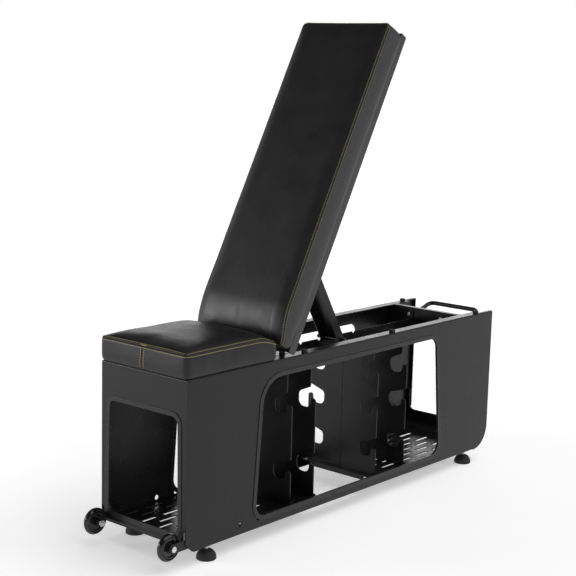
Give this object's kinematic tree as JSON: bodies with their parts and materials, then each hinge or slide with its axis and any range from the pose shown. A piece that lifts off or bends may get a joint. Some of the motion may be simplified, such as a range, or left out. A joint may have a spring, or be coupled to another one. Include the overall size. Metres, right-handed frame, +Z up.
{
  "type": "adjustable weight bench",
  "caption": "Adjustable weight bench with inclining backrest, fixed seat and a steel box frame that stores dumbbells on open hook plates, with wheels and a lift handle.",
  "frame": {"origin": "on the floor under the middle of the bench's overall box, in its rest pose", "axes": "+X from the seat and wheel end to the lift handle end, +Z up, Y across the bench"},
  "size_m": [1.2354, 0.268, 1.1573],
  "materials": {
    "frame_paint": "satin black powder coat, fine texture",
    "inner_paint": "satin black powder coat",
    "hook_paint": "satin black powder coat on bent plate",
    "edge_trim": "satin dark grey edging",
    "handle_paint": "semi-gloss black",
    "zinc": "bright zinc plate",
    "rubber": "matt black rubber",
    "wheel_plastic": "gloss black moulded wheel",
    "seat_vinyl": "grained black vinyl with contrast stitching",
    "back_vinyl": "grained black vinyl with contrast stitching",
    "board_wood": "dark stained plywood"
  },
  "bodies": {
    "frame": {"front_panel": "frame_paint", "side_panel_right": "frame_paint", "side_panel_left": "frame_paint", "front_tray": "inner_paint", "rear_tray": "inner_paint", "seat_cross_member": "inner_paint", "hinge_cross_member": "inner_paint", "rear_cross_member": "inner_paint", "ladder_rail_right": "inner_paint", "ladder_rail_left": "inner_paint", "hinge_bracket_right": "inner_paint", "hinge_bracket_left": "inner_paint", "wheel_bracket_right": "inner_paint", "wheel_bracket_left": "inner_paint", "hook_plate_1_right": "hook_paint", "hook_plate_1_left": "hook_paint", "hook_plate_2_right": "hook_paint", "hook_plate_2_left": "hook_paint", "hook_plate_3_right": "hook_paint", "hook_plate_3_left": "hook_paint", "hook_plate_4_right": "hook_paint", "hook_plate_4_left": "hook_paint", "front_opening_trim": "edge_trim", "side_opening_trim_right": "edge_trim", "side_opening_trim_left": "edge_trim", "lift_handle": "handle_paint", "hinge_pins": "zinc", "ladder_bolts": "zinc", "hook_plate_bolts": "zinc", "wheel_bolts": "zinc", "wheel_nuts": "zinc", "wheel_washers": "zinc", "seat_screws": "zinc", "foot_lock_nuts": "zinc", "foot_weld_nuts": "zinc", "rail_bumpers": "rubber", "seat_pad": "seat_vinyl", "seat_board": "board_wood"},
    "backrest": {"backrest_pan": "inner_paint", "backrest_hinge_lugs": "inner_paint", "strut_bracket": "inner_paint", "strut_pin": "zinc", "backrest_board": "board_wood", "backrest_pad": "back_vinyl", "backrest_screws": "zinc"},
    "strut": {"prop_strut": "inner_paint", "strut_foot_rod": "handle_paint"},
    "wheel_right": {"wheel_right": "wheel_plastic"},
    "wheel_left": {"wheel_left": "wheel_plastic"},
    "foot_front_right": {"foot_pad_front_right": "rubber", "foot_stem_front_right": "zinc"},
    "foot_front_left": {"foot_pad_front_left": "rubber", "foot_stem_front_left": "zinc"},
    "foot_rear_right": {"foot_pad_rear_right": "rubber", "foot_stem_rear_right": "zinc"},
    "foot_rear_left": {"foot_pad_rear_left": "rubber", "foot_stem_rear_left": "zinc"}
  },
  "joints": [
    {"name": "backrest_incline", "type": "hinge", "parent": "frame", "child": "backrest", "pos_m": [-0.22225, 0, 0.4265], "axis": [0, -1, 0], "range_deg": [-62, 18]},
    {"name": "strut_swing", "type": "hinge", "parent": "backrest", "child": "strut", "pos_m": [-0.06998, 0, 0.63491], "axis": [0, 1, 0], "range_deg": [-122.2, 35.5]},
    {"name": "wheel_spin_right", "type": "hinge", "parent": "frame", "child": "wheel_right", "pos_m": [-0.58775, -0.115, 0.056], "axis": [0, 1, 0], "continuous": true},
    {"name": "wheel_spin_left", "type": "hinge", "parent": "frame", "child": "wheel_left", "pos_m": [-0.58775, 0.115, 0.056], "axis": [0, 1, 0], "continuous": true},
    {"name": "foot_height_front_right", "type": "slide", "parent": "frame", "child": "foot_front_right", "axis": [0, 0, -1], "range_m": [0, 0.006]},
    {"name": "foot_height_front_left", "type": "slide", "parent": "frame", "child": "foot_front_left", "axis": [0, 0, -1], "range_m": [0, 0.006]},
    {"name": "foot_height_rear_right", "type": "slide", "parent": "frame", "child": "foot_rear_right", "axis": [0, 0, -1], "range_m": [0, 0.006]},
    {"name": "foot_height_rear_left", "type": "slide", "parent": "frame", "child": "foot_rear_left", "axis": [0, 0, -1], "range_m": [0, 0.006]}
  ],
  "couplings": [
    {"joint": "strut_swing", "follows": "backrest_incline", "ratio": 1.97}
  ]
}
